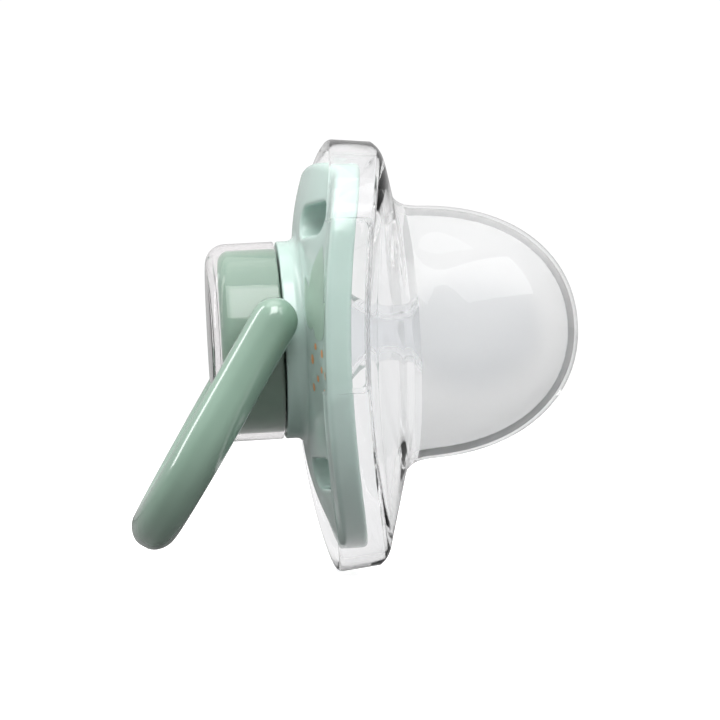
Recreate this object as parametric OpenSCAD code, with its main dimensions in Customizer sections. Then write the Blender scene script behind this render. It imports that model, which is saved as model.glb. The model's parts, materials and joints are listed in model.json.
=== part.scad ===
// Baby's pacifier with a folding ring and a clear clip-on cap.
// Frame: the origin is the centre of the knob's flat face, +Y runs through the shield to the
// tip of the nipple, +Z is the nose side and X runs from cheek to cheek. Millimetres.

/* [Knob and collar] */
// Diameter of the knob's clear cover and of the collar behind it
hub_d = 20.7; // [19:0.1:21.2]
// Depth from the knob's flat face to the seam with the collar
seam_y = 7.2; // [6.9:0.1:7.6]
// Width of the open seam between the knob and the collar
seam_gap = 0.25; // [0.1:0.05:0.4]
// Thickness of the clear cover over the knob's face
cover_face = 0.95; // [0.8:0.05:1.2]
// Thickness of the clear cover round the knob's side
cover_side = 0.7; // [0.5:0.05:1]
// Outer corner radius of the clear cover
cover_round = 2.1; // [1:0.1:3]
// Diameter of the printed disc under the clear cover
disc_d = 15.4; // [10:0.2:16]
// Thickness of the printed disc
disc_t = 0.3; // [0.2:0.05:0.5]

/* [Shield] */
// Distance from the knob's flat face to the front of the shield at the collar
root_y = 9.45; // [9:0.05:10]
// Half of the shield's width, cheek to cheek
shield_half_w = 22; // [20:0.5:24]
// Height of the shield's top edge above the axis
shield_top = 17.9; // [17:0.1:19]
// Depth of the shield's bottom edge below the axis
shield_bottom = 22.2; // [20:0.1:23]
// Height above the axis at which the shield is widest
shield_widest_z = 7; // [0:1:10]
// Thickness of the shield
shield_t = 2.5; // [2:0.1:3]
// Radius of the shield's curve, seen from the cheek
shield_bend_r = 89; // [70:1:120]
// Bore of the collar, which holds the nipple's flange and the plug
collar_bore_d = 15; // [14:0.1:16]
// Width of a vent slot's round ends
vent_w = 3.2; // [2:0.2:4]
// Distance between the centres of a vent slot's round ends
vent_run = 5.6; // [4:0.2:7]

/* [Ring handle] */
// Distance from the hinge pin to the far edge of the ring
ring_reach = 26.5; // [25:0.5:28]
// Thickness of the ring's bar, square to the plane of the ring
ring_t = 4.8; // [4:0.1:5]
// Width of the ring's bar, in the plane of the ring
ring_w = 4.3; // [4:0.1:4.8]
// Angle that the ring stands out from straight down
ring_rest = 32.7; // [0:0.1:90]
// Radius of the two hinge pins
pin_r = 1.2; // [1:0.05:1.3]
// Radial clearance of the hinge pins
pin_play = 0.07; // [0.03:0.01:0.1]

/* [Nipple] */
// Height of the bulb, nose side to chin side
bulb_h = 12.4; // [10:0.2:14]
// Width of the bulb, cheek to cheek
bulb_w = 16; // [14:0.5:17]
// Wall of the nipple
nipple_wall = 1.3; // [1:0.1:1.6]

/* [Cap] */
// Distance from the shield's edge out to the cap's outer surface
cap_margin = 2.3; // [2:0.1:3]
// Wall of the cap's skirt and flange
cap_wall = 1.2; // [1:0.05:1.4]
// Wall of the dome
dome_wall = 1.05; // [0.8:0.05:1.2]
// Diameter of the dome where it leaves the flange
dome_d = 26.7; // [25:0.1:28]
// Distance from the knob's flat face to the tip of the dome
dome_tip_y = 38.85; // [37:0.05:40]
// Depth of the finger notch in each side of the skirt
notch_depth = 4.2; // [3:0.1:4.4]

/* [Hidden] */
$fn = 96;

// The thin offset that keeps two faces of one assembly from sharing a surface
fit_gap = 0.05;
hub_r = hub_d / 2;
collar_y = seam_y + seam_gap;

// The hinge pins' axis runs along X through this point, at the seam
pin_y = 6.25;
pin_z = 1.6;

// The front of the shield at its rim: a gentle arc that opens towards the face
bend_y = root_y + 1.2;
bend_z = -4;

// Depth of the plug and of the nipple's flange inside the collar, and their radii
plug_y = [collar_y + 0.75, collar_y + 1.7];
flange_y = [plug_y[1], plug_y[1] + 1.25];
plug_r = collar_bore_d / 2 - 0.1;
flange_r = collar_bore_d / 2 - 0.2;
neck_r = 5.8;
// Radii of the air hole through the plug and of the hollow behind the knob
air_hole_r = 2;
hollow_r = 2.6;
// How deep the hinge pins and their bores reach into the hub
pin_in = 1.75;
bore_in = 2.6;

// Inside of the knob
core_r = hub_r - cover_side - fit_gap;

function front_y(z) = bend_y + shield_bend_r - sqrt(pow(shield_bend_r, 2) - pow(z - bend_z, 2));

// One point [x, z] of the shield's outline grown by a margin. The curve above the widest line
// is squarer than the one below it, as a cheek-shaped shield is.
top_power = 2.8;
bottom_power = 2.3;
function outline_point(a, grow) =
    let (p = 2 / (sin(a) > 0 ? top_power : bottom_power),
         half_w = shield_half_w + grow,
         reach = sin(a) > 0 ? shield_top + grow - shield_widest_z
                            : shield_bottom + grow + shield_widest_z)
    [half_w * sign(cos(a)) * pow(abs(cos(a)), p),
     shield_widest_z + reach * sign(sin(a)) * pow(abs(sin(a)), p)];
function outline(grow, steps) = [for (i = [0 : steps - 1]) outline_point(360 * i / steps, grow)];

// Places a shape drawn in [x, y] of the page as [x, z] of the part, and runs it from y0 to y1
module along_y(y0, y1) {
    translate([0, y1, 0]) rotate([90, 0, 0]) linear_extrude(y1 - y0) children();
}

module tube_along_y(r, y0, y1) {
    translate([0, y0, 0]) rotate([-90, 0, 0]) cylinder(r = r, h = y1 - y0);
}

// A solid of revolution about Y from points [radius, y]
module turned(points) {
    rotate([-90, 0, 0]) rotate_extrude() polygon(points);
}

// Points of a quarter arc, from angle a0 to a1, as [radius, y]
function arc(cr, cy, r, a0, a1, n = 8) =
    [for (i = [0 : n]) let (a = a0 + (a1 - a0) * i / n) [cr + r * cos(a), cy + r * sin(a)]];

// The bore of the two hinge pins, cut across the seam
module pin_bore() {
    for (side = [-1, 1])
        translate([side * (hub_r + 1), pin_y, pin_z]) rotate([0, -side * 90, 0])
            cylinder(r = pin_r + pin_play, h = bore_in + 1);
}

// ---- Shield ----

// Centre of the upper and of the lower vent slot, as [x, z]
vent_places = [[11.6, 11.6], [8.6, -14]];

outline_steps = 72;

// A cylinder along X about the centre of the shield's curve
module bend_roller(r, length) {
    translate([-length / 2, bend_y + shield_bend_r, bend_z]) rotate([0, 90, 0])
        cylinder(r = r, h = length);
}

module shield_plate() {
    width = 4 * shield_half_w;
    intersection() {
        along_y(root_y - 1, root_y + 12) polygon(outline(0, outline_steps));
        difference() {
            bend_roller(shield_bend_r, width);
            bend_roller(shield_bend_r - shield_t, width + 2);
        }
    }
}

// The face swells forward to meet the collar: points [radius, depth behind the root]
swell = [[0, 0], [hub_r, 0], [14, 0.25], [18, 1.4], [20.5, 2.6], [20.5, 3.2], [0, 3.2]];

module shield_swell() {
    intersection() {
        along_y(root_y - 1, root_y + 12) polygon(outline(-1, outline_steps));
        turned([for (p = swell) [p[0], root_y + p[1]]]);
    }
}

module vent_slot() {
    along_y(root_y - 2, root_y + 8) {
        for (side = [-1, 1]) translate([side * vent_run / 2, 0]) circle(d = vent_w, $fn = 32);
        square([vent_run, vent_w], center = true);
    }
}

module shield() {
    color([0.76, 0.88, 0.82]) difference() {
        union() {
            shield_plate();
            shield_swell();
            tube_along_y(hub_r, collar_y, root_y + 1);
        }
        tube_along_y(collar_bore_d / 2, collar_y - 1, flange_y[1]);
        tube_along_y(neck_r + fit_gap, collar_y, root_y + 8);
        for (side = [-1, 1]) for (place = vent_places)
            translate([side * place[0], 0, place[1]]) vent_slot();
        pin_bore();
    }
}

// ---- Nipple: flange, round neck, flat neck and a bulb, as a ring of sections along Y ----

// Each section is [y, half width, half height, height of its centre]
nipple_outer = [
    [flange_y[0], flange_r, flange_r, 0], [flange_y[1], flange_r, flange_r, 0],
    [flange_y[1], neck_r, neck_r, 0],
    [root_y + 3.9, neck_r, neck_r, 0], [root_y + 4.9, 5.5, 5.1, 0.1], [root_y + 6.2, 4.9, 3.9, 0.2],
    [root_y + 7.8, 4.7, 3.1, 0.3], [root_y + 9.6, 4.9, 2.9, 0.2], [root_y + 11.2, 5.7, 3.4, 0],
    [root_y + 13, 6.9, 4.6, -0.2], [root_y + 15, 7.7, 5.6, -0.4],
    [root_y + 17.2, bulb_w / 2, bulb_h / 2, -0.5], [root_y + 19.6, 7.8, 6, -0.4],
    [root_y + 21.8, 6.9, 5.2, -0.3], [root_y + 23.6, 5.4, 4, -0.2],
    [root_y + 24.8, 3.6, 2.6, -0.1], [root_y + 25.4, 1.6, 1.2, 0]];
function shrunk(s, w) = [s[0], s[1] - w, s[2] - w, s[3]];
nipple_inner = [for (i = [len(nipple_outer) - 3 : -1 : 3]) shrunk(nipple_outer[i], nipple_wall)];
nipple_mouth = [[flange_y[0], neck_r - nipple_wall, neck_r - nipple_wall, 0]];
nipple_steps = 40;
// How far the round tips of the bulb stand past its last sections, outside and inside
tip_out = 0.15;
tip_in = 0.3;

function ellipse_ring(s) =
    [for (i = [0 : nipple_steps - 1]) let (a = 360 * i / nipple_steps)
        [s[1] * cos(a), s[0], s[3] + s[2] * sin(a)]];

// Quads between ring k and ring k + 1, with n points in each ring
function band_faces(k, n) =
    [for (i = [0 : n - 1]) let (j = (i + 1) % n, a = k * n, b = (k + 1) * n)
        each [[a + i, b + j, b + i], [a + i, a + j, b + j]]];

module nipple() {
    sections = concat(nipple_outer, nipple_inner, nipple_mouth);
    n = nipple_steps;
    outer_last = len(nipple_outer) - 1;
    count = len(sections);
    rings = [for (s = sections) each ellipse_ring(s)];
    tips = [[0, nipple_outer[outer_last][0] + tip_out, 0], [0, nipple_inner[0][0] + tip_in, 0]];
    outer_tip = count * n;
    inner_tip = outer_tip + 1;
    walls = [for (k = [0 : count - 2]) if (k != outer_last) each band_faces(k, n)];
    mouth = [for (i = [0 : n - 1]) let (j = (i + 1) % n, b = (count - 1) * n)
        each [[b + i, j, i], [b + i, b + j, j]]];
    ends = [for (i = [0 : n - 1]) let (j = (i + 1) % n, a = outer_last * n, b = (outer_last + 1) * n)
        each [[a + i, a + j, outer_tip], [b + i, inner_tip, b + j]]];
    color([0.95, 0.93, 0.88, 0.6])
        polyhedron(points = concat(rings, tips), faces = concat(walls, mouth, ends), convexity = 6);
}

// ---- Plug that locks the nipple's flange into the collar ----

module nipple_plug() {
    stem_r = neck_r - nipple_wall - fit_gap;
    color([0.93, 0.95, 0.94]) difference() {
        union() {
            tube_along_y(plug_r, plug_y[0], plug_y[1] - 0.01);
            tube_along_y(stem_r, plug_y[1] - 0.5, root_y + 2.6);
        }
        tube_along_y(air_hole_r, plug_y[0] - 1, root_y + 4);
    }
}

// ---- Knob ----

module knob_body() {
    round_r = cover_round - cover_side;
    face_y = cover_face + fit_gap;
    color([0.59, 0.71, 0.64]) difference() {
        union() {
            turned(concat([[0, face_y]], arc(core_r - round_r, face_y + round_r, round_r, -90, 0),
                          [[core_r, seam_y], [0, seam_y]]));
            tube_along_y(collar_bore_d / 2 - fit_gap, seam_y - 0.5, plug_y[0] - 0.01);
        }
        tube_along_y(disc_d / 2 + fit_gap, face_y - 1, face_y + disc_t);
        tube_along_y(hollow_r, seam_y - 3, plug_y[0] + 1);
        pin_bore();
    }
}

module knob_cover() {
    inner_r = hub_r - cover_side;
    inner_round = cover_round - cover_side;
    color([0.95, 0.93, 0.94, 0.35]) difference() {
        turned(concat([[0, 0]], arc(hub_r - cover_round, cover_round, cover_round, -90, 0),
                      [[hub_r, seam_y], [0, seam_y]]));
        turned(concat([[0, cover_face]],
                      arc(inner_r - inner_round, cover_face + inner_round, inner_round, -90, 0),
                      [[inner_r, seam_y + 1], [0, seam_y + 1]]));
        pin_bore();
    }
}

module decor_disc() {
    color([0.9, 0.94, 0.9])
        tube_along_y(disc_d / 2, cover_face + 0.02, cover_face + fit_gap + disc_t - 0.02);
}

// ---- Ring handle: a bail with two arms, a half-round end and two pins that face each other ----

// Gap between an arm and the hub, and corner radius of the bar
arm_gap = 0.45;
ring_round = 2.0;
ring_inner_r = hub_r + arm_gap;
ring_mid_r = ring_inner_r + ring_w / 2;

// The bar's rounded section, centred
module bar_section() {
    square([ring_w, ring_t - 2 * ring_round], center = true);
    square([ring_w - 2 * ring_round, ring_t], center = true);
    for (sx = [-1, 1]) for (sy = [-1, 1])
        translate([sx * (ring_w / 2 - ring_round), sy * (ring_t / 2 - ring_round)])
            circle(r = ring_round, $fn = 48);
}

// The round end of an arm: the section turned about the pin's axis
module arm_end(side) {
    translate([side * ring_mid_r, 0, 0]) rotate([0, 90, 0]) rotate_extrude()
        intersection() {
            rotate(90) bar_section();
            translate([0, -10]) square([20, 20]);
        }
}

module ring_flat() {
    arm_run = ring_reach - ring_mid_r - ring_w / 2;
    for (side = [-1, 1]) {
        translate([side * ring_mid_r, 0, -arm_run]) linear_extrude(arm_run) bar_section();
        arm_end(side);
        translate([side * (ring_inner_r + 1), 0, 0]) rotate([0, -side * 90, 0])
            cylinder(r = pin_r, h = pin_in + arm_gap + 1, $fn = 48);
    }
    translate([0, 0, -arm_run]) rotate([90, 0, 0]) rotate([0, 0, 180])
        rotate_extrude(angle = 180) translate([ring_mid_r, 0]) bar_section();
}

module ring_handle() {
    color([0.59, 0.71, 0.64])
        translate([0, pin_y, pin_z]) rotate([-ring_rest, 0, 0]) ring_flat();
}

// ---- Protective cap: a skirt round the shield, a flange and a dome over the nipple ----

// The skirt's lip stands this far in front of the shield's rim
lip_ahead = 0.6;
// Depth from the lip at which the skirt's straight wall ends
skirt_y = 4.45;
// Heights of the two edges of each finger notch
notch_z = [-6.1, 10.8];
// Half of the rise over which a notch's edge steps
notch_edge = 0.12;
// Depth at which the flange meets the dome's foot, and depth from which the dome's curve runs
flange_in_y = root_y + 10.1;
dome_y = root_y + 11.66;
dome_r = dome_d / 2;
// Powers of the dome's curve, from its foot to its tip
dome_power = 2.3;
dome_root = 0.465;

function in_notch(z) = z > notch_z[0] && z < notch_z[1];

// Angle at which the cap's outline passes height z
function angle_at(z) =
    let (up = z > shield_widest_z,
         reach = up ? shield_top + cap_margin - shield_widest_z
                    : shield_bottom + cap_margin + shield_widest_z,
         p = 2 / (up ? top_power : bottom_power))
    (up ? 1 : -1) * asin(pow(abs(z - shield_widest_z) / reach, 1 / p));

// Angles round the outline, with a close pair at each edge of a notch
edges = [for (z = notch_z) for (d = [-notch_edge, notch_edge]) angle_at(z + d)];
function spread(a, b, n) = [for (i = [0 : n - 1]) a + (b - a) * i / n];
right_side = concat(spread(-90, edges[0], 14), spread(edges[0], edges[1], 1),
                    spread(edges[1], edges[2], 7), spread(edges[2], edges[3], 1),
                    spread(edges[3], 90, 14));
cap_angles = concat(right_side, [90], [for (i = [len(right_side) - 1 : -1 : 1]) 180 - right_side[i]]);

function lip_y(a) = front_y(outline_point(a, 0)[1]) - lip_ahead;

// A ring of the skirt: inset from the cap's outline, at a depth from the lip
function skirt_ring(inset, depth) =
    [for (a = cap_angles) let (p = outline_point(a, cap_margin - inset),
                               z = outline_point(a, cap_margin)[1],
                               d = depth > 0 ? depth : in_notch(z) ? notch_depth : 0)
        [p[0], lip_y(a) + d, p[1]]];

// A round ring at radius r and depth y, each point at the same bearing as on the skirt
function round_ring(r, y) =
    [for (a = cap_angles) let (p = outline_point(a, cap_margin), b = atan2(p[1], p[0]))
        [r * cos(b), y, r * sin(b)]];

function mixed_ring(a, b, share) = [for (i = [0 : len(a) - 1]) a[i] * (1 - share) + b[i] * share];

// Radius of a dome of base radius r at share t of its length
function dome_at(r, t) = r * pow(1 - pow(t, dome_power), dome_root);
dome_steps = [0.06, 0.2, 0.36, 0.5, 0.62, 0.72, 0.81, 0.88, 0.935, 0.972, 0.993];
dome_steps_back = [for (i = [len(dome_steps) - 1 : -1 : 0]) dome_steps[i]];

function dome_rings(r, tip, steps) =
    [for (t = steps) round_ring(dome_at(r, t), dome_y + t * (tip - dome_y))];

module cap_shell() {
    n = len(cap_angles);
    outer_edge = skirt_ring(2.8, 5.8);
    outer_round = round_ring(15, flange_in_y);
    inner_edge = skirt_ring(3.2, 5.8 - cap_wall);
    inner_round = round_ring(14.5, flange_in_y - cap_wall);
    inner_tip = dome_tip_y - dome_wall;
    outer = concat(
        [skirt_ring(0, 0), skirt_ring(0.4, skirt_y), skirt_ring(0.95, 5.05), skirt_ring(1.75, 5.5),
         outer_edge, mixed_ring(outer_edge, outer_round, 0.5), outer_round,
         round_ring(14.1, root_y + 10.75), round_ring(13.55, root_y + 11.7)],
        dome_rings(dome_r, dome_tip_y, dome_steps));
    inner = concat(
        dome_rings(dome_r - dome_wall, inner_tip, dome_steps_back),
        [round_ring(dome_r - dome_wall + 0.15, root_y + 11.4), round_ring(13.1, root_y + 9.8),
         inner_round, mixed_ring(inner_edge, inner_round, 0.5), inner_edge,
         skirt_ring(2.3, skirt_y + 0.02), skirt_ring(cap_wall, 0)]);
    outer_count = len(outer);
    count = outer_count + len(inner);
    rings = [for (r = concat(outer, inner)) each r];
    tips = [[0, dome_tip_y, 0], [0, inner_tip, 0]];
    walls = [for (k = [0 : count - 2]) if (k != outer_count - 1) each band_faces(k, n)];
    ends = [for (i = [0 : n - 1])
        let (j = (i + 1) % n, a = (outer_count - 1) * n, b = outer_count * n, c = (count - 1) * n)
        each [[a + i, a + j, count * n], [b + i, count * n + 1, b + j],
              [c + i, j, i], [c + i, c + j, j]]];
    polyhedron(points = concat(rings, tips), faces = concat(walls, ends), convexity = 8);
}

// Places round the outline of the pads behind the shield's rim, and of the beads in front of it
pad_angles = [52, 128, -58, -122];
pad_size = [2, 1.6, 2];
pad_gap = 0.3;
bead_angles = [76, 104, -80, -100];
bead_r = 0.5;
bead_len = 3;
// Depth of a bead's centre behind the lip
bead_y = 0.7;

module cap_pads() {
    for (a = pad_angles) {
        p = outline_point(a, 0);
        seat_y = front_y(p[1]) + shield_t + pad_gap;
        translate([p[0], seat_y, p[1]]) rotate([0, -atan2(p[1], p[0]), 0])
            translate([-1.2, 0, -pad_size[2] / 2]) cube(pad_size);
    }
    for (a = bead_angles) {
        p = outline_point(a, cap_margin - cap_wall - 0.1);
        translate([p[0], lip_y(a) + bead_y, p[1]]) rotate([0, 90, 0])
            cylinder(r = bead_r, h = bead_len, center = true, $fn = 24);
    }
}

module protective_cap() {
    color([0.88, 0.88, 0.9, 0.4]) union() {
        cap_shell();
        cap_pads();
    }
}

shield();
nipple();
nipple_plug();
knob_body();
knob_cover();
decor_disc();
ring_handle();
protective_cap();
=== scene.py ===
"""Looks of a baby's pacifier with a folding ring and a clear domed cap.

The object's and the camera's sizes are in millimetres, those of the floor and lights in metres.
The frame is the CAD's: the origin is the centre of the knob's flat face, +Y runs through the shield
to the nipple, +Z is the nose side.
"""
import json
import math

import bmesh
import bpy
from mathutils import Matrix, Vector
from mathutils.geometry import delaunay_2d_cdt
from mathutils.kdtree import KDTree


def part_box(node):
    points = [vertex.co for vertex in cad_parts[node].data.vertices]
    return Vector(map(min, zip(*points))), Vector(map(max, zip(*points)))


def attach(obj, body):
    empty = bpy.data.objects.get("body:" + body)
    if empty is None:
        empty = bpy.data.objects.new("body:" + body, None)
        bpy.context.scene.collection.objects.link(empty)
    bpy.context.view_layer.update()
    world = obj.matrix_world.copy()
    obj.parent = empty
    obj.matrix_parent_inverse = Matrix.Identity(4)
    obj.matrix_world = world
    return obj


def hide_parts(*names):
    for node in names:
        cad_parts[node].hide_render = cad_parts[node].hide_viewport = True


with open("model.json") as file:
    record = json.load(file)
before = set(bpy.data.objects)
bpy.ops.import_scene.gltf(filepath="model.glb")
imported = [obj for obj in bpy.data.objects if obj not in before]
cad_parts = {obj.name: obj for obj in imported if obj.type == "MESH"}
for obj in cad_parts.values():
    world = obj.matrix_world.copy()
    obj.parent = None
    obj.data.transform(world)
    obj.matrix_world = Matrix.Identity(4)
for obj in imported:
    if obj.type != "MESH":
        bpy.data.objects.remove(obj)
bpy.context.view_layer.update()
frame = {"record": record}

MM = 0.001


# ---- Sizes, read from the CAD frame where a node's box gives them ----

def box_mm(node):
    lo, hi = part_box(node)
    return Vector(lo) / MM, Vector(hi) / MM


cover_lo, cover_hi = box_mm("knob_cover")
body_lo, body_hi = box_mm("knob_body")
disc_lo, disc_hi = box_mm("decor_disc")
shield_lo, shield_hi = box_mm("shield")
nipple_lo, nipple_hi = box_mm("nipple")
plug_lo, plug_hi = box_mm("nipple_plug")
cap_lo, cap_hi = box_mm("protective_cap")

HUB_R = cover_hi.x
SEAM_Y = cover_hi.y
COLLAR_Y = shield_lo.y
ROOT_Y = COLLAR_Y + 2.0
# Sizes that no box gives repeat the part's source, unless a comment says otherwise
COVER_FACE = 0.95
COVER_SIDE = 0.7
COVER_ROUND = 2.1
COLLAR_BORE_R = 7.5
PLUG_R = 7.4
AIR_HOLE_R = 2
HOLLOW_R = 2.6
NECK_R = 5.8
FLANGE_Y = (nipple_lo.y, nipple_lo.y + 1.25)
NIPPLE_WALL = 1.3
FIT_GAP = 0.05

hinge = next(j for j in frame["record"]["behaviour"]["joints"] if j["type"] == "hinge")
PIN = Vector(hinge["pos_m"]) / MM
PIN_R = 1.2
# The pins end 0.05 mm short of the CAD's
PIN_IN = 1.7
PIN_BORE_R = 1.27
PIN_BORE_IN = 2.6
RING_REACH = 26.5
RING_T = 4.8
RING_W = 4.3
RING_ROUND = 2.0
RING_REST = math.radians(32.7)
ARM_GAP = 0.45
RING_INNER_R = HUB_R + ARM_GAP
RING_MID_R = RING_INNER_R + RING_W / 2

SHIELD_T = 2.5
BEND_R = 89
BEND_Y = ROOT_Y + 1.2
BEND_Z = -4
WIDEST_Z = 7
TOP_POWER = 2.8
BOTTOM_POWER = 2.3
VENT_PLACES = ((11.6, 11.6), (8.6, -14))
VENT_R = 1.6
VENT_RUN = 5.6

CAP_MARGIN = cap_hi.x - shield_hi.x
CAP_WALL = 1.2
DOME_WALL = 1.05
DOME_R = 13.35
DOME_Y = ROOT_Y + 11.66
DOME_TIP_Y = cap_hi.y
DOME_POWER = 2.3
DOME_ROOT = 0.465
LIP_AHEAD = 0.6
SKIRT_Y = 4.45
NOTCH_DEPTH = 4.2
NOTCH_Z = (-6.1, 10.8)
# Round of a notch's inner corners, which the CAD leaves square
NOTCH_ROUND = 1.0


# ---- Meshes ----

def new_piece(name, verts, faces, materials, body, slot, node=None, sharp=35):
    """Makes a smooth-shaded object from millimetre points, riding on a CAD body."""
    mesh = bpy.data.meshes.new(name)
    mesh.from_pydata([tuple(Vector(v) * MM) for v in verts], [], faces)
    work = bmesh.new()
    work.from_mesh(mesh)
    bmesh.ops.remove_doubles(work, verts=work.verts, dist=2e-7)
    bmesh.ops.recalc_face_normals(work, faces=work.faces)
    work.to_mesh(mesh)
    work.free()
    for material in materials:
        mesh.materials.append(material)
    piece = bpy.data.objects.new(name, mesh)
    bpy.context.scene.collection.objects.link(piece)
    smooth(piece, sharp)
    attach(piece, body)
    if node:
        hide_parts(node)
    return piece


def smooth(piece, sharp):
    piece.data.shade_smooth()
    piece.data.set_sharp_from_angle(angle=math.radians(sharp))


def rounded(corners, steps=6):
    """Rounds a path of (u, v, radius) corners with arcs that touch both of their sides."""
    path = []
    for i, (u, v, radius) in enumerate(corners):
        here = Vector((u, v))
        if radius == 0 or i in (0, len(corners) - 1):
            path.append(here)
            continue
        back = (Vector(corners[i - 1][:2]) - here).normalized()
        ahead = (Vector(corners[i + 1][:2]) - here).normalized()
        half = back.angle(ahead) / 2
        centre = here + (back + ahead).normalized() * radius / math.sin(half)
        first = here + back * radius / math.tan(half) - centre
        last = here + ahead * radius / math.tan(half) - centre
        turn = first.angle_signed(last)
        for k in range(steps + 1):
            a = turn * k / steps
            spin = Matrix.Rotation(-a, 2)
            path.append(centre + spin @ first)
    return path


def lofted(rings, closed=False):
    """Quads between rings of equal length. A ring of one point is a tip."""
    verts, starts = [], []
    for ring in rings:
        starts.append(len(verts))
        verts.extend(ring)
    faces = []
    count = len(rings)
    for k in range(count if closed else count - 1):
        a, b = rings[k], rings[(k + 1) % count]
        sa, sb = starts[k], starts[(k + 1) % count]
        n = max(len(a), len(b))
        for i in range(n):
            j = (i + 1) % n
            if len(a) == 1:
                faces.append((sa, sb + j, sb + i))
            elif len(b) == 1:
                faces.append((sa + i, sa + j, sb))
            else:
                faces.append((sa + i, sa + j, sb + j, sb + i))
    return verts, faces


def circle_ring(r, y, steps):
    if r < 1e-6:
        return [(0, y, 0)]
    turns = (math.tau * i / steps for i in range(steps))
    return [(r * math.cos(a), y, r * math.sin(a)) for a in turns]


def turned(path, steps=144, closed=False):
    """Turns a path of (radius, y) points about the Y axis."""
    return lofted([circle_ring(p[0], p[1], steps) for p in path], closed)


def joined(*parts):
    verts, faces = [], []
    for part_verts, part_faces in parts:
        shift = len(verts)
        verts.extend(part_verts)
        faces.extend(tuple(i + shift for i in face) for face in part_faces)
    return verts, faces


def cut(piece, cutters):
    """Cuts closed millimetre meshes out of a piece."""
    for verts, faces in cutters:
        tool = new_tool(verts, faces)
        change = piece.modifiers.new("cut", "BOOLEAN")
        change.operation = "DIFFERENCE"
        change.solver = "EXACT"
        change.object = tool
        graph = bpy.context.evaluated_depsgraph_get()
        result = bpy.data.meshes.new_from_object(piece.evaluated_get(graph))
        piece.modifiers.clear()
        piece.data = result
        bpy.data.objects.remove(tool)


def new_tool(verts, faces):
    mesh = bpy.data.meshes.new("tool")
    mesh.from_pydata([tuple(Vector(v) * MM) for v in verts], [], faces)
    work = bmesh.new()
    work.from_mesh(mesh)
    bmesh.ops.recalc_face_normals(work, faces=work.faces)
    work.to_mesh(mesh)
    work.free()
    tool = bpy.data.objects.new("tool", mesh)
    bpy.context.scene.collection.objects.link(tool)
    return tool


# ---- Materials ----

def plastic(name, colour, roughness, variation=0.05, grain=0.02, grain_mm=0.5, **shader):
    """A moulded plastic whose colour drifts a little, under a finely rippled skin."""
    material = bpy.data.materials.new(name)
    material.use_nodes = True
    nodes, links = material.node_tree.nodes, material.node_tree.links
    surface = nodes["Principled BSDF"]
    for socket, value in shader.items():
        surface.inputs[socket.replace("_", " ")].default_value = value
    place = nodes.new("ShaderNodeTexCoord")
    cloud = nodes.new("ShaderNodeTexNoise")
    cloud.inputs["Scale"].default_value = 160
    cloud.inputs["Detail"].default_value = 3
    ramp = nodes.new("ShaderNodeValToRGB")
    ramp.color_ramp.elements[0].position = 0.3
    ramp.color_ramp.elements[1].position = 0.7
    ramp.color_ramp.elements[0].color = [c * (1 - variation) for c in colour[:3]] + [1]
    ramp.color_ramp.elements[1].color = [min(1, c * (1 + variation)) for c in colour[:3]] + [1]
    links.new(place.outputs["Object"], cloud.inputs["Vector"])
    links.new(cloud.outputs["Fac"], ramp.inputs["Fac"])
    links.new(ramp.outputs["Color"], surface.inputs["Base Color"])
    gloss = nodes.new("ShaderNodeMapRange")
    gloss.inputs["To Min"].default_value = roughness * 0.85
    gloss.inputs["To Max"].default_value = roughness * 1.15
    links.new(cloud.outputs["Fac"], gloss.inputs["Value"])
    links.new(gloss.outputs["Result"], surface.inputs["Roughness"])
    ripple = nodes.new("ShaderNodeTexNoise")
    ripple.inputs["Scale"].default_value = 1 / (grain_mm * MM)
    ripple.inputs["Detail"].default_value = 2
    bump = nodes.new("ShaderNodeBump")
    bump.inputs["Strength"].default_value = grain
    bump.inputs["Distance"].default_value = 0.1 * MM
    links.new(place.outputs["Object"], ripple.inputs["Vector"])
    links.new(ripple.outputs["Fac"], bump.inputs["Height"])
    links.new(bump.outputs["Normal"], surface.inputs["Normal"])
    return material


SAGE = (0.22, 0.335, 0.262)
MINT = (0.445, 0.57, 0.525)

sage = plastic("sage_plastic", SAGE, 0.22, Coat_Weight=1.0, Coat_Roughness=0.07)
sage_core = plastic("sage_core_plastic", SAGE, 0.35, Specular_IOR_Level=0.12)
mint = plastic("mint_plastic", MINT, 0.22, variation=0.02, Subsurface_Weight=0.25,
               Subsurface_Radius=(0.8, 1.0, 0.9), Subsurface_Scale=0.0015, Coat_Weight=0.25,
               Coat_Roughness=0.08)
plug_white = plastic("plug_plastic", (0.8, 0.84, 0.82), 0.3, variation=0.02)
clear = plastic("clear_plastic", (0.975, 0.975, 0.98), 0.03, variation=0.006, grain=0.01,
                grain_mm=4, Transmission_Weight=1.0, IOR=1.06, Coat_Weight=0.45,
                Coat_Roughness=0.02)
frosted = plastic("frosted_plastic", (0.91, 0.91, 0.91), 0.9, variation=0.01, grain=0.05,
                  Transmission_Weight=0.72, IOR=1.06, Specular_IOR_Level=0.1)
cover_clear = plastic("cover_plastic", (0.965, 0.945, 0.95), 0.03, variation=0.005, grain=0.01,
                      grain_mm=3, Transmission_Weight=1.0, IOR=1.1, Coat_Weight=0.4,
                      Coat_Roughness=0.02)
silicone = plastic("silicone", (0.92, 0.93, 0.94), 0.15, variation=0.02, grain=0.04,
                   Transmission_Weight=1.0, IOR=1.08)
paper = plastic("disc_print", (0.74, 0.82, 0.77), 0.45, variation=0.03)
leaf_ink = plastic("leaf_ink", (0.34, 0.48, 0.39), 0.35, variation=0.12)
dot_ink = plastic("dot_ink", (0.72, 0.36, 0.14), 0.35, variation=0.08)


# ---- Knob ----

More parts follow.
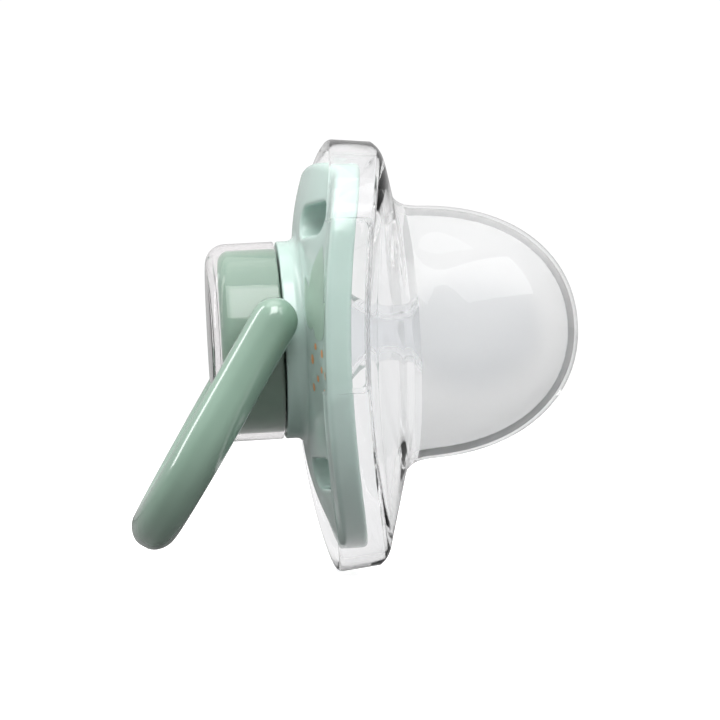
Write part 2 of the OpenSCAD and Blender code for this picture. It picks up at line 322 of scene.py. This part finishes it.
def pin_bores():
    """The bores of the two hinge pins, as closed meshes along X."""
    tools = []
    for side in (-1, 1):
        rings = []
        for x in (HUB_R - PIN_BORE_IN, HUB_R + 2):
            ring = [(side * x, PIN.y + PIN_BORE_R * math.cos(a), PIN.z + PIN_BORE_R * math.sin(a))
                    for a in (math.tau * i / 48 for i in range(48))]
            rings.append(ring)
        ends = [[(side * (HUB_R - PIN_BORE_IN), PIN.y, PIN.z)],
                [(side * (HUB_R + 2), PIN.y, PIN.z)]]
        tools.append(lofted([ends[0]] + rings + [ends[1]]))
    return tools


def make_knob():
    inner_r = HUB_R - COVER_SIDE
    inner_round = COVER_ROUND - COVER_SIDE
    cover = rounded([(0, 0, 0), (HUB_R, 0, COVER_ROUND), (HUB_R, SEAM_Y, 0.2),
                     (inner_r, SEAM_Y, 0.15), (inner_r, COVER_FACE, inner_round),
                     (0, COVER_FACE, 0)], 10)
    piece = new_piece("clear_knob_cover", *turned(cover), [cover_clear], "pacifier", "clear_cover",
                      "knob_cover")
    cut(piece, pin_bores())
    smooth(piece, 30)

    core_r = body_hi.x
    face_y = body_lo.y
    recess_r = disc_hi.x + FIT_GAP
    recess_y = disc_hi.y + 0.02
    spigot_r = COLLAR_BORE_R - FIT_GAP
    core = rounded([(0, recess_y, 0), (recess_r, recess_y, 0.05), (recess_r, face_y, 0.05),
                    (core_r, face_y, COVER_ROUND - COVER_SIDE), (core_r, SEAM_Y, 0.15),
                    (spigot_r, SEAM_Y, 0.1), (spigot_r, body_hi.y, 0.2),
                    (HOLLOW_R, body_hi.y, 0.2), (HOLLOW_R, SEAM_Y - 3, 0), (0, SEAM_Y - 3, 0)], 10)
    piece = new_piece("sage_knob_core", *turned(core), [sage_core], "pacifier", "sage_plastic",
                      "knob_body")
    cut(piece, pin_bores())
    smooth(piece, 30)

    disc_r = disc_hi.x
    disc = rounded([(0, disc_lo.y, 0), (disc_r, disc_lo.y, 0.05), (disc_r, disc_hi.y, 0.05),
                    (0, disc_hi.y, 0)], 3)
    new_piece("printed_disc", *turned(disc), [paper], "pacifier", "printed_disc", "decor_disc")


# ---- Shield ----

def outline_point(a, grow):
    """Point (x, z) of the shield's outline at parameter a, grown by a margin."""
    up = math.sin(a) > 0
    p = 2 / (TOP_POWER if up else BOTTOM_POWER)
    reach = shield_hi.z + grow - WIDEST_Z if up else -shield_lo.z + grow + WIDEST_Z
    c, s = math.cos(a), math.sin(a)
    return (math.copysign((shield_hi.x + grow) * abs(c) ** p, c),
            WIDEST_Z + math.copysign(reach * abs(s) ** p, s))


def arc_y(z):
    """Front of the shield's rim: an arc that opens towards the face."""
    return BEND_Y + BEND_R - math.sqrt(BEND_R ** 2 - (z - BEND_Z) ** 2)


def front_y(x, z):
    """Front of the shield: the rim's arc, swelling forward to meet the collar."""
    arc = arc_y(z)
    swell = ROOT_Y + 2.6 * (max(0, math.hypot(x, z) - HUB_R) / 10.15) ** 1.9
    soft = 0.6
    mix = max(0, min(1, 0.5 + 0.5 * (swell - arc) / soft))
    return swell * (1 - mix) + arc * mix - soft * mix * (1 - mix)


def back_y(x, z):
    return arc_y(z) + SHIELD_T


def edge_drop(d, radius):
    """How far a rounded edge falls back at distance d inside its outline."""
    return radius - math.sqrt(max(0, radius ** 2 - (radius - min(d, radius)) ** 2))


VENT_SIDE_STEPS = 8


def vent_loop(place, grow, steps=14):
    """Outline of a vent slot with round ends, grown by a margin."""
    points = []
    for side, start in ((1, -math.pi / 2), (-1, math.pi / 2)):
        for i in range(steps + 1):
            a = start + math.pi * i / steps
            points.append((place[0] + side * VENT_RUN / 2 + (VENT_R + grow) * math.cos(a),
                           place[1] + (VENT_R + grow) * math.sin(a)))
        for i in range(1, VENT_SIDE_STEPS):
            along = 1 - 2 * i / VENT_SIDE_STEPS
            points.append((place[0] + side * VENT_RUN / 2 * along,
                           place[1] + side * (VENT_R + grow)))
    return points


def vent_distance(place, x, z):
    run = max(-VENT_RUN / 2, min(VENT_RUN / 2, x - place[0]))
    return math.hypot(x - place[0] - run, z - place[1]) - VENT_R


def filled_sheet(loops, keep, height, spacing):
    """Triangulates the region between loops of (x, z) points and lifts each point to its height."""
    points, edges = [], []
    for loop in loops:
        start = len(points)
        points.extend(loop)
        edges.extend((start + i, start + (i + 1) % len(loop)) for i in range(len(loop)))
    near = KDTree(len(points))
    for i, (x, z) in enumerate(points):
        near.insert((x, z, 0), i)
    near.balance()
    row_gap = spacing * math.sqrt(3) / 2
    lo_x, hi_x = min(p[0] for p in points), max(p[0] for p in points)
    lo_z, hi_z = min(p[1] for p in points), max(p[1] for p in points)
    for row in range(int((hi_z - lo_z) / row_gap) + 1):
        z = lo_z + row * row_gap
        for col in range(int((hi_x - lo_x) / spacing) + 2):
            x = lo_x + (col + 0.5 * (row % 2)) * spacing
            if keep(x, z) and near.find((x, z, 0))[2] > 0.6 * spacing:
                points.append((x, z))
    found = delaunay_2d_cdt([Vector(p) for p in points], edges, [], 0, 1e-7)
    flat, triangles = found[0], found[2]
    faces = []
    for triangle in triangles:
        x = sum(flat[i][0] for i in triangle) / 3
        z = sum(flat[i][1] for i in triangle) / 3
        if keep(x, z):
            faces.append(tuple(triangle))
    return [(p[0], height(p[0], p[1]), p[1]) for p in flat], faces


EDGE_R = 0.55
VENT_EDGE_R = 0.35
ROOT_FILLET = 0.9
OUTLINE_STEPS = 220
HUB_STEPS = 144
SHIELD_VENTS = [(side * x, z) for side in (-1, 1) for x, z in VENT_PLACES]


def outline_loop(grow):
    return [outline_point(math.tau * i / OUTLINE_STEPS, grow) for i in range(OUTLINE_STEPS)]


def round_loop(r, steps):
    turns = (math.tau * i / steps for i in range(steps))
    return [(r * math.cos(a), r * math.sin(a)) for a in turns]


def hub_loop(r):
    return round_loop(r, HUB_STEPS)


def inside_outline(x, z):
    reach = shield_hi.z - WIDEST_Z if z > WIDEST_Z else -shield_lo.z + WIDEST_Z
    power = TOP_POWER if z > WIDEST_Z else BOTTOM_POWER
    return (abs(x) / shield_hi.x) ** power + (abs(z - WIDEST_Z) / reach) ** power < 1


def shield_sheet(surface, sign, hub_r, hub_fillet):
    """One face of the shield, with rounded edges. sign is 1 where an edge falls towards +Y."""
    edge_steps = (0, 0.04, 0.14, 0.3, EDGE_R, 0.8)
    vent_steps = (0, 0.03, 0.1, 0.2, VENT_EDGE_R, 0.55)
    hub_steps = (0, 0.03, 0.12, 0.28, 0.5, hub_fillet, 1.3) if hub_fillet else (0, 0.4)
    outer = outline_loop(0)
    rim = KDTree(len(outer))
    for i, (x, z) in enumerate(outer):
        rim.insert((x, z, 0), i)
    rim.balance()

    def height(x, z):
        y = surface(x, z)
        if abs(x) + abs(z) > 14:
            y += sign * edge_drop(rim_distance(x, z), EDGE_R)
        for place in SHIELD_VENTS:
            y += sign * edge_drop(max(0, vent_distance(place, x, z)), VENT_EDGE_R)
        if hub_fillet:
            y -= sign * edge_drop(max(0, math.hypot(x, z) - hub_r), hub_fillet)
        return y

    def rim_distance(x, z):
        _, index, gap = rim.find((x, z, 0))
        best = gap
        for step in (-1, 1):
            a, b = Vector(outer[index]), Vector(outer[(index + step) % OUTLINE_STEPS])
            along = b - a
            t = max(0, min(1, (Vector((x, z)) - a).dot(along) / along.length_squared))
            best = min(best, (Vector((x, z)) - a - along * t).length)
        return best

    def keep(x, z):
        if not inside_outline(x, z) or math.hypot(x, z) < hub_r:
            return False
        return all(vent_distance(place, x, z) > 0 for place in SHIELD_VENTS)

    loops = [outline_loop(-d) for d in edge_steps]
    loops += [hub_loop(hub_r + d) for d in hub_steps]
    loops += [vent_loop(place, d) for place in SHIELD_VENTS for d in vent_steps]
    verts, faces = filled_sheet(loops, keep, height, 0.8)
    walls = {"outer": [(x, height(x, z), z) for x, z in outer],
             "hub": [(x, height(x, z), z) for x, z in hub_loop(hub_r)],
             "vents": [[(x, height(x, z), z) for x, z in vent_loop(place, 0)]
                       for place in SHIELD_VENTS]}
    return (verts, faces), walls


def make_shield():
    bore = NECK_R + FIT_GAP
    front, front_walls = shield_sheet(front_y, 1, HUB_R, ROOT_FILLET)
    back, back_walls = shield_sheet(back_y, -1, bore, 0)
    root = front_walls["hub"][0][1]
    collar = rounded([(HUB_R, root, 0), (HUB_R, COLLAR_Y, 0.2), (COLLAR_BORE_R, COLLAR_Y, 0.15),
                      (COLLAR_BORE_R, FLANGE_Y[1], 0), (bore, FLANGE_Y[1], 0)], 5)
    inside = [[(p[0], FLANGE_Y[1], p[2]) for p in back_walls["hub"]], back_walls["hub"]]
    parts = [front, back, turned(collar, HUB_STEPS), lofted(inside),
             lofted([front_walls["outer"], back_walls["outer"]])]
    parts += [lofted([a, b]) for a, b in zip(front_walls["vents"], back_walls["vents"])]
    new_piece("mint_shield", *joined(*parts), [mint], "pacifier", "mint_shield", "shield", sharp=40)


# ---- Prints on the shield's face ----

def leaf_outline(length, width, steps=24):
    """A pointed leaf along +x from its stalk at the origin."""
    upper = [(length * t, width / 2 * math.sin(math.pi * t ** 0.8) ** 0.9)
             for t in (i / steps for i in range(steps + 1))]
    return upper + [(x, -y) for x, y in reversed(upper[1:-1])]


def printed_shape(outline, place, turn, side):
    c, s = math.cos(turn), math.sin(turn)
    return [(side * (place[0] + c * u - s * v), place[1] + s * u + c * v) for u, v in outline]


def inside_loop(loop, x, z):
    hit = False
    for (ax, az), (bx, bz) in zip(loop, loop[1:] + loop[:1]):
        if (az > z) != (bz > z) and x < (bx - ax) * (z - az) / (bz - az) + ax:
            hit = not hit
    return hit


def make_print(name, loops, ink, surface, spacing):
    parts = []
    for loop in loops:
        parts.append(filled_sheet([loop], lambda x, z: inside_loop(loop, x, z), surface, spacing))
    new_piece(name, *joined(*parts), [ink], "pacifier", "printed_disc", sharp=80)


INK_LIFT = 0.02
# Each leaf is (stalk x, stalk z, length, width, angle in degrees)
LEAVES = ((15.4, 0.2, 8.6, 5.2, 82), (15.2, -0.2, 6, 3.2, 30), (14.4, 0.6, 6, 3.0, 118))
# Places (x, z) of the dots
DOTS = ((15.2, -1.2), (17.2, -2.0), (13.8, -2.4), (16.6, -3.6), (13.2, -5.2), (17.0, -6.0),
        (15.0, -4.4), (18.4, -4.2))


def make_prints():
    leaves, dots = [], []
    for side in (-1, 1):
        for x, z, length, width, angle in LEAVES:
            leaf = leaf_outline(length, width)
            leaves.append(printed_shape(leaf, (x, z), math.radians(angle), side))
        for i, (x, z) in enumerate(DOTS):
            r = 0.34 + 0.08 * (i % 3)
            dots.append(printed_shape(round_loop(r, 16), (x, z), 0, side))
    make_print("leaf_prints", leaves, leaf_ink, lambda x, z: front_y(x, z) - INK_LIFT, 0.5)
    make_print("dot_prints", dots, dot_ink, lambda x, z: front_y(x, z) - INK_LIFT, 0.4)


# ---- Nipple and its plug ----

# Each section is (y from the shield's root, half width, half height, height of its centre)
BULB = ((3.9, 5.8, 5.8, 0), (4.9, 5.5, 5.1, 0.1), (6.2, 4.9, 3.9, 0.2), (7.8, 4.7, 3.1, 0.3),
        (9.6, 4.9, 2.9, 0.2), (11.2, 5.7, 3.4, 0), (13, 6.9, 4.6, -0.2), (15, 7.7, 5.6, -0.4),
        (17.2, 8, 6.2, -0.5), (19.6, 7.8, 6, -0.4), (21.8, 6.9, 5.2, -0.3), (23.6, 5.4, 4, -0.2),
        (24.8, 3.6, 2.6, -0.1), (25.4, 1.6, 1.2, 0))


def blended(rows, per_gap):
    """More rows between the given ones, on a Catmull-Rom curve."""
    out = []
    for i in range(len(rows) - 1):
        p = [rows[max(0, min(len(rows) - 1, k))] for k in (i - 1, i, i + 1, i + 2)]
        for k in range(per_gap):
            t = k / per_gap
            w = (-t ** 3 + 2 * t ** 2 - t, 3 * t ** 3 - 5 * t ** 2 + 2,
                 -3 * t ** 3 + 4 * t ** 2 + t, t ** 3 - t ** 2)
            out.append(tuple(sum(w[m] * p[m][n] for m in range(4)) / 2
                             for n in range(len(rows[0]))))
    return out + [tuple(rows[-1])]


def section_ring(section, shrink=0, steps=96):
    y, half_w, half_h, centre = section
    turns = (math.tau * i / steps for i in range(steps))
    return [((half_w - shrink) * math.cos(a), y, centre + (half_h - shrink) * math.sin(a))
            for a in turns]


def make_nipple():
    sections = [(ROOT_Y + s[0],) + s[1:] for s in blended(BULB, 4)]
    flange_r = nipple_hi.z
    base = rounded([(NECK_R - NIPPLE_WALL, FLANGE_Y[0], 0), (flange_r, FLANGE_Y[0], 0.3),
                    (flange_r, FLANGE_Y[1], 0.3), (NECK_R, FLANGE_Y[1], 0.1),
                    (NECK_R, ROOT_Y + 3.8, 0)], 5)
    rings = [circle_ring(p[0], p[1], 96) for p in base]
    rings += [section_ring(s) for s in sections]
    rings += [[(0, ROOT_Y + 25.55, 0)], [(0, ROOT_Y + 24.2, 0)]]
    inner = [s for s in sections if s[0] < ROOT_Y + 24]
    rings += [section_ring(s, NIPPLE_WALL) for s in reversed(inner)]
    outer_count = len(base) + len(sections) + 1
    outside = lofted(rings[:outer_count])
    inside = lofted(rings[outer_count:] + [rings[0]])
    new_piece("silicone_nipple", *joined(outside, inside), [silicone], "pacifier", "silicone",
              "nipple", sharp=50)

    stem_r = NECK_R - NIPPLE_WALL - FIT_GAP
    top, under = plug_lo.y, plug_lo.y + 0.94
    plug = rounded([(AIR_HOLE_R, top, 0.2), (PLUG_R, top, 0.2), (PLUG_R, under, 0.15),
                    (stem_r, under, 0.1), (stem_r, plug_hi.y, 0.4), (AIR_HOLE_R, plug_hi.y, 0.3),
                    (AIR_HOLE_R, top, 0.2)], 4)
    new_piece("nipple_plug_core", *turned(plug[:-1], closed=True), [plug_white], "pacifier",
              "plug_plastic", "nipple_plug")


# ---- Ring handle ----

def bar_half_width(rho):
    """Half of the bar's width at a distance from its centre plane."""
    flat = RING_T / 2 - RING_ROUND
    side = RING_W / 2 - RING_ROUND
    if rho <= flat:
        return RING_W / 2
    return side + math.sqrt(max(0, RING_ROUND ** 2 - (rho - flat) ** 2))


def bar_section(rise, steps=48):
    """The bar cut at a height above the hinge axis: (across, thick) points of its section."""
    half_t = math.sqrt(max(0, (RING_T / 2) ** 2 - rise ** 2))
    points = []
    for i in range(steps):
        a = math.tau * (i + 0.5) / steps
        thick = half_t * math.sin(a)
        across = bar_half_width(math.hypot(rise, thick))
        squeeze = abs(math.cos(a)) ** 0.35
        points.append((math.copysign(across * squeeze, math.cos(a)), thick))
    return points


def make_ring():
    run = RING_REACH - RING_MID_R - RING_W / 2
    rings = []
    # Angles from the tip of an arm's round end to its widest section, closer near the tip
    ends = [0, 0.35, 0.9, 1.7, 2.8, 4.2, 6, 8.2, 10.8, 14, 18, 23, 30, 38, 48, 58, 68, 78, 90]
    for side in (1, -1):
        stations = []
        for angle in ends:
            rise = RING_T / 2 * math.cos(math.radians(angle))
            stations.append([(side * RING_MID_R + u, v, rise) for u, v in bar_section(rise)])
        stations[0] = [(side * RING_MID_R, 0, RING_T / 2)]
        arm = [[(side * RING_MID_R + u, v, -run * k / 10) for u, v in bar_section(0)]
               for k in range(1, 11)]
        rings.append(stations + arm)
    bight = []
    for k in range(1, 64):
        a = math.pi * k / 64
        bight.append([((RING_MID_R + u) * math.cos(a), v, -run - (RING_MID_R + u) * math.sin(a))
                      for u, v in bar_section(0)])
    left = [[(-x, y, z) for x, y, z in ring] for ring in rings[0]]
    bar = lofted(rings[0] + bight + list(reversed(left)))
    pins = []
    for side in (-1, 1):
        tip = HUB_R - PIN_IN
        path = [(0, tip), (PIN_R - 0.25, tip), (PIN_R - 0.07, tip + 0.07), (PIN_R, tip + 0.25),
                (PIN_R, RING_INNER_R - 0.25), (PIN_R + 0.08, RING_INNER_R + 0.02),
                (PIN_R + 0.3, RING_INNER_R + 0.25), (0, RING_INNER_R + 0.25)]
        verts, faces = turned(path, 48)
        pins.append(([(side * y, x, z) for x, y, z in verts], faces))
    verts, faces = joined(bar, *pins)
    turn = Matrix.Rotation(-RING_REST, 3, "X")
    verts = [turn @ Vector(v) + PIN for v in verts]
    new_piece("sage_ring", verts, faces, [sage], "ring", "sage_plastic", "ring_handle", sharp=50)


# ---- Protective cap ----

def cap_angles():
    """Outline parameters, even but with close rows across each edge of a finger notch."""
    right = set()
    for i in range(101):
        right.add(-math.pi / 2 + math.pi * i / 100)
    for z in NOTCH_Z:
        for d in (-0.02, 0.02):
            right.add(angle_at(z + d))
        inward = 1 if z < WIDEST_Z else -1
        for k in range(1, 9):
            right.add(angle_at(z + inward * NOTCH_ROUND * (1 - math.cos(math.pi / 2 * k / 8))))
    right = sorted(right)
    kept = [right[0]]
    for a in right[1:]:
        if a - kept[-1] > 2e-4:
            kept.append(a)
    return kept + [math.pi - a for a in reversed(kept[1:-1])]


def angle_at(z):
    up = z > WIDEST_Z
    reach = cap_hi.z - WIDEST_Z if up else WIDEST_Z - cap_lo.z
    power = 2 / (TOP_POWER if up else BOTTOM_POWER)
    return (1 if up else -1) * math.asin(min(1, abs(z - WIDEST_Z) / reach) ** (1 / power))


def notch_cut(z):
    """Depth that a finger notch removes from the lip at height z, with round inner corners."""
    gap = min(z - NOTCH_Z[0], NOTCH_Z[1] - z)
    if gap <= 0:
        return 0
    return NOTCH_DEPTH - edge_drop(gap, NOTCH_ROUND)


def make_cap():
    angles = cap_angles()
    lips = [arc_y(outline_point(a, 0)[1]) - LIP_AHEAD for a in angles]
    cuts = [notch_cut(outline_point(a, CAP_MARGIN)[1]) for a in angles]
    bearings = [math.atan2(*reversed(outline_point(a, CAP_MARGIN))) for a in angles]

    def skirt(inset, depth):
        """Ring of the skirt, inset from the cap's outline, at a depth behind the uncut lip."""
        ring = []
        for a, lip in zip(angles, lips):
            x, z = outline_point(a, CAP_MARGIN - inset)
            ring.append((x, lip + depth, z))
        return ring

    def wall(inset, below):
        """Ring of the skirt just behind its lip, which the finger notches push back."""
        ring = []
        for a, lip, gone in zip(angles, lips, cuts):
            x, z = outline_point(a, CAP_MARGIN - inset)
            room = SKIRT_Y - gone
            ring.append((x, lip + gone + min(below, 0.9 * room), z))
        return ring

    def round_ring(r, y):
        return [(r * math.cos(b), y, r * math.sin(b)) for b in bearings]

    def mixed(a, b, t):
        return [tuple(Vector(p).lerp(Vector(q), t)) for p, q in zip(a, b)]

    def dome(r, tip, steps=26):
        rings = []
        for i in range(1, steps):
            t = math.sin(math.pi / 2 * i / steps) ** 0.9
            y = DOME_Y + t * (tip - DOME_Y)
            rings.append(round_ring(r * (1 - t ** DOME_POWER) ** DOME_ROOT, y))
        return rings + [[(0, tip, 0)]]

    # The skirt bends in to the flange, and the flange runs back to the foot of the dome
    flange_depth, foot_y = 5.8, ROOT_Y + 10.1
    outer_edge, outer_round = skirt(2.8, flange_depth), round_ring(15, foot_y)
    inner_edge = skirt(3.2, flange_depth - CAP_WALL)
    inner_round = round_ring(14.5, foot_y - CAP_WALL)
    outer_bend = [skirt(0.4, SKIRT_Y), skirt(0.95, 5.05), skirt(1.75, 5.5), outer_edge,
                  mixed(outer_edge, outer_round, 0.5), outer_round,
                  round_ring(14.1, ROOT_Y + 10.75), round_ring(13.55, ROOT_Y + 11.7)]
    inner_bend = [skirt(1.6, SKIRT_Y + 0.02), skirt(2.3, SKIRT_Y + 0.35), inner_edge,
                  mixed(inner_edge, inner_round, 0.5), inner_round, round_ring(13.1, ROOT_Y + 9.8),
                  round_ring(DOME_R - DOME_WALL + 0.15, ROOT_Y + 11.4)]
    outer_dome = dome(DOME_R, DOME_TIP_Y)
    inner_dome = dome(DOME_R - DOME_WALL, DOME_TIP_Y - DOME_WALL)
    lip_out = [wall(0.6, 0), wall(0.35, 0.02), wall(0.15, 0.12), wall(0.03, 0.3), wall(0.0, 0.6)]
    lip_in = [wall(0.6, 0), wall(0.85, 0.02), wall(1.05, 0.12), wall(1.17, 0.3), wall(1.2, 0.6)]
    outside = lofted(lip_out + curved_rings(outer_bend + outer_dome[:1], 4) + outer_dome)
    inside_clear = lofted(lip_in + curved_rings(inner_bend + inner_dome[:1], 4) + inner_dome[:1])
    inside_frost = lofted(inner_dome)
    clear_verts, clear_faces = joined(outside, inside_clear)
    verts, faces = joined((clear_verts, clear_faces), inside_frost)
    piece = new_piece("clear_cap", verts, faces, [clear, frosted], "cap", "clear_cap",
                      "protective_cap", sharp=50)
    for face in piece.data.polygons:
        x, y, z = face.center / MM
        inner = math.hypot(x, z) < 0.97 * dome_radius(DOME_R, y, DOME_TIP_Y)
        if y > ROOT_Y + 11.2 and inner and y < DOME_TIP_Y - 0.9 * DOME_WALL:
            face.material_index = 1
    return piece


def dome_radius(r, y, tip):
    """Radius at depth y of a dome with a base radius and a tip."""
    t = max(0, min(1, (y - DOME_Y) / (tip - DOME_Y)))
    return r * (1 - t ** DOME_POWER) ** DOME_ROOT


def curved_rings(rings, per_gap):
    """Rings between the given ones, on Catmull-Rom curves, without the last one."""
    rows = [tuple(c for point in ring for c in point) for ring in rings]
    smooth_rows = blended(rows, per_gap)[:-1]
    return [[tuple(row[i:i + 3]) for i in range(0, len(row), 3)] for row in smooth_rows]


# ---- Stage, lights and camera ----

def seen_directly(nodes, links):
    """1 for rays that the camera sends, itself or through clear plastic, and 0 for other light."""
    path = nodes.new("ShaderNodeLightPath")
    undimmed = nodes.new("ShaderNodeMath")
    undimmed.operation = "LESS_THAN"
    undimmed.inputs[1].default_value = 0.5
    through = nodes.new("ShaderNodeMath")
    through.operation = "MULTIPLY"
    either = nodes.new("ShaderNodeMath")
    either.operation = "MAXIMUM"
    links.new(path.outputs["Diffuse Depth"], undimmed.inputs[0])
    links.new(undimmed.outputs["Value"], through.inputs[0])
    links.new(path.outputs["Is Transmission Ray"], through.inputs[1])
    links.new(path.outputs["Is Camera Ray"], either.inputs[0])
    links.new(through.outputs["Value"], either.inputs[1])
    return either.outputs["Value"]


# Brightness of the floor and the surround to the camera, through clear plastic and straight
SEEN_THROUGH = 0.92
SEEN_STRAIGHT = 1.05


def make_floor():
    """White to the camera, a little grey through clear plastic, and dim as a source of light."""
    floor_z = min(cap_lo.z, PIN.z - RING_REACH) * MM - 0.0002
    bpy.ops.mesh.primitive_plane_add(size=6, location=(0, 0, floor_z))
    floor = bpy.context.object
    floor.name = "floor"
    material = bpy.data.materials.new("floor_white")
    material.use_nodes = True
    nodes, links = material.node_tree.nodes, material.node_tree.links
    pale = nodes["Principled BSDF"]
    pale.inputs["Base Color"].default_value = (0.93, 0.93, 0.93, 1)
    pale.inputs["Roughness"].default_value = 0.9
    pale.inputs["Emission Color"].default_value = (1, 1, 1, 1)
    pale.inputs["Emission Strength"].default_value = 0.55
    dim = nodes.new("ShaderNodeBsdfDiffuse")
    dim.inputs["Color"].default_value = (0.2, 0.2, 0.2, 1)
    through = nodes.new("ShaderNodeEmission")
    through.inputs["Strength"].default_value = SEEN_THROUGH
    path = nodes.new("ShaderNodeLightPath")
    bright = nodes.new("ShaderNodeMixShader")
    links.new(path.outputs["Is Camera Ray"], bright.inputs["Fac"])
    links.new(through.outputs["Emission"], bright.inputs[1])
    links.new(pale.outputs["BSDF"], bright.inputs[2])
    mix = nodes.new("ShaderNodeMixShader")
    links.new(seen_directly(nodes, links), mix.inputs["Fac"])
    links.new(dim.outputs["BSDF"], mix.inputs[1])
    links.new(bright.outputs["Shader"], mix.inputs[2])
    links.new(mix.outputs["Shader"], nodes["Material Output"].inputs["Surface"])
    floor.data.materials.append(material)


def make_world():
    """White to the camera, and to the object bright above and dim below, as in a studio tent."""
    world = bpy.data.worlds.new("studio")
    bpy.context.scene.world = world
    world.use_nodes = True
    nodes, links = world.node_tree.nodes, world.node_tree.links
    place = nodes.new("ShaderNodeTexCoord")
    split = nodes.new("ShaderNodeSeparateXYZ")
    ramp = nodes.new("ShaderNodeValToRGB")
    ramp.color_ramp.elements[0].position = 0.3
    ramp.color_ramp.elements[0].color = (0.1, 0.1, 0.1, 1)
    ramp.color_ramp.elements[1].position = 0.75
    ramp.color_ramp.elements[1].color = (0.8, 0.8, 0.8, 1)
    half = nodes.new("ShaderNodeMapRange")
    half.inputs["From Min"].default_value = -1
    links.new(place.outputs["Generated"], split.inputs["Vector"])
    links.new(split.outputs["Z"], half.inputs["Value"])
    links.new(half.outputs["Result"], ramp.inputs["Fac"])
    tent = nodes["Background"]
    links.new(ramp.outputs["Color"], tent.inputs["Color"])
    white = nodes.new("ShaderNodeBackground")
    white.inputs["Color"].default_value = (1, 1, 1, 1)
    level = nodes.new("ShaderNodeMath")
    level.operation = "MULTIPLY_ADD"
    level.inputs[1].default_value = SEEN_STRAIGHT - SEEN_THROUGH
    level.inputs[2].default_value = SEEN_THROUGH
    path = nodes.new("ShaderNodeLightPath")
    links.new(path.outputs["Is Camera Ray"], level.inputs[0])
    links.new(level.outputs["Value"], white.inputs["Strength"])
    mix = nodes.new("ShaderNodeMixShader")
    links.new(seen_directly(nodes, links), mix.inputs["Fac"])
    links.new(tent.outputs["Background"], mix.inputs[1])
    links.new(white.outputs["Background"], mix.inputs[2])
    links.new(mix.outputs["Shader"], nodes["World Output"].inputs["Surface"])


def make_light(name, azimuth, elevation, distance, width, height, watts):
    """A softbox aimed at the object. Azimuth 0 is on the -Y side, 90 on the +X side."""
    a, e = math.radians(azimuth), math.radians(elevation)
    aim = Vector((0, 16 * MM, 0))
    away = Vector((math.sin(a) * math.cos(e), -math.cos(a) * math.cos(e), math.sin(e)))
    data = bpy.data.lights.new(name, "AREA")
    data.shape = "RECTANGLE"
    data.size, data.size_y, data.energy = width, height, watts
    lamp = bpy.data.objects.new(name, data)
    bpy.context.scene.collection.objects.link(lamp)
    lamp.location = aim + away * distance
    lamp.rotation_euler = away.to_track_quat("Z", "Y").to_euler()


CAMERA_AZIMUTH = 85.2
CAMERA_ELEVATION = -0.8
CAMERA_ROLL = 3.3
CAMERA_DISTANCE = 270
FIELD_WIDTH = 75.6
# How far right of and above the hub's root the middle of the picture lies
AIM_RIGHT = 6.37
AIM_UP = -2.2


def make_camera():
    a, e, r = (math.radians(v) for v in (CAMERA_AZIMUTH, CAMERA_ELEVATION, CAMERA_ROLL))
    away = Vector((math.sin(a) * math.cos(e), -math.cos(a) * math.cos(e), math.sin(e)))
    level_right = Vector((math.cos(a), math.sin(a), 0))
    level_up = away.cross(level_right)
    right = level_right * math.cos(r) - level_up * math.sin(r)
    up = level_right * math.sin(r) + level_up * math.cos(r)
    aim = Vector((0, ROOT_Y, 0)) + right * AIM_RIGHT + up * AIM_UP
    data = bpy.data.cameras.new("camera")
    data.sensor_width = 36
    data.lens = 36 * CAMERA_DISTANCE / FIELD_WIDTH
    data.clip_start = 0.01
    camera = bpy.data.objects.new("camera", data)
    bpy.context.scene.collection.objects.link(camera)
    turn = Matrix((right, up, away)).transposed()
    camera.matrix_world = Matrix.Translation((aim + away * CAMERA_DISTANCE) * MM) @ turn.to_4x4()
    bpy.context.scene.camera = camera


make_camera()
make_world()
make_floor()
make_light("key_left", 82, 47, 0.45, 0.22, 0.32, 1.45)
make_light("key_right", 142, 40, 0.45, 0.42, 0.26, 1.2)
make_light("top_light", 40, 84, 0.5, 0.4, 0.4, 0.8)
make_light("edge_light", -12, 32, 0.45, 0.08, 0.4, 0.6)
make_knob()
make_shield()
make_prints()
make_nipple()
make_ring()
make_cap()
bpy.context.scene.view_settings.view_transform = "Standard"
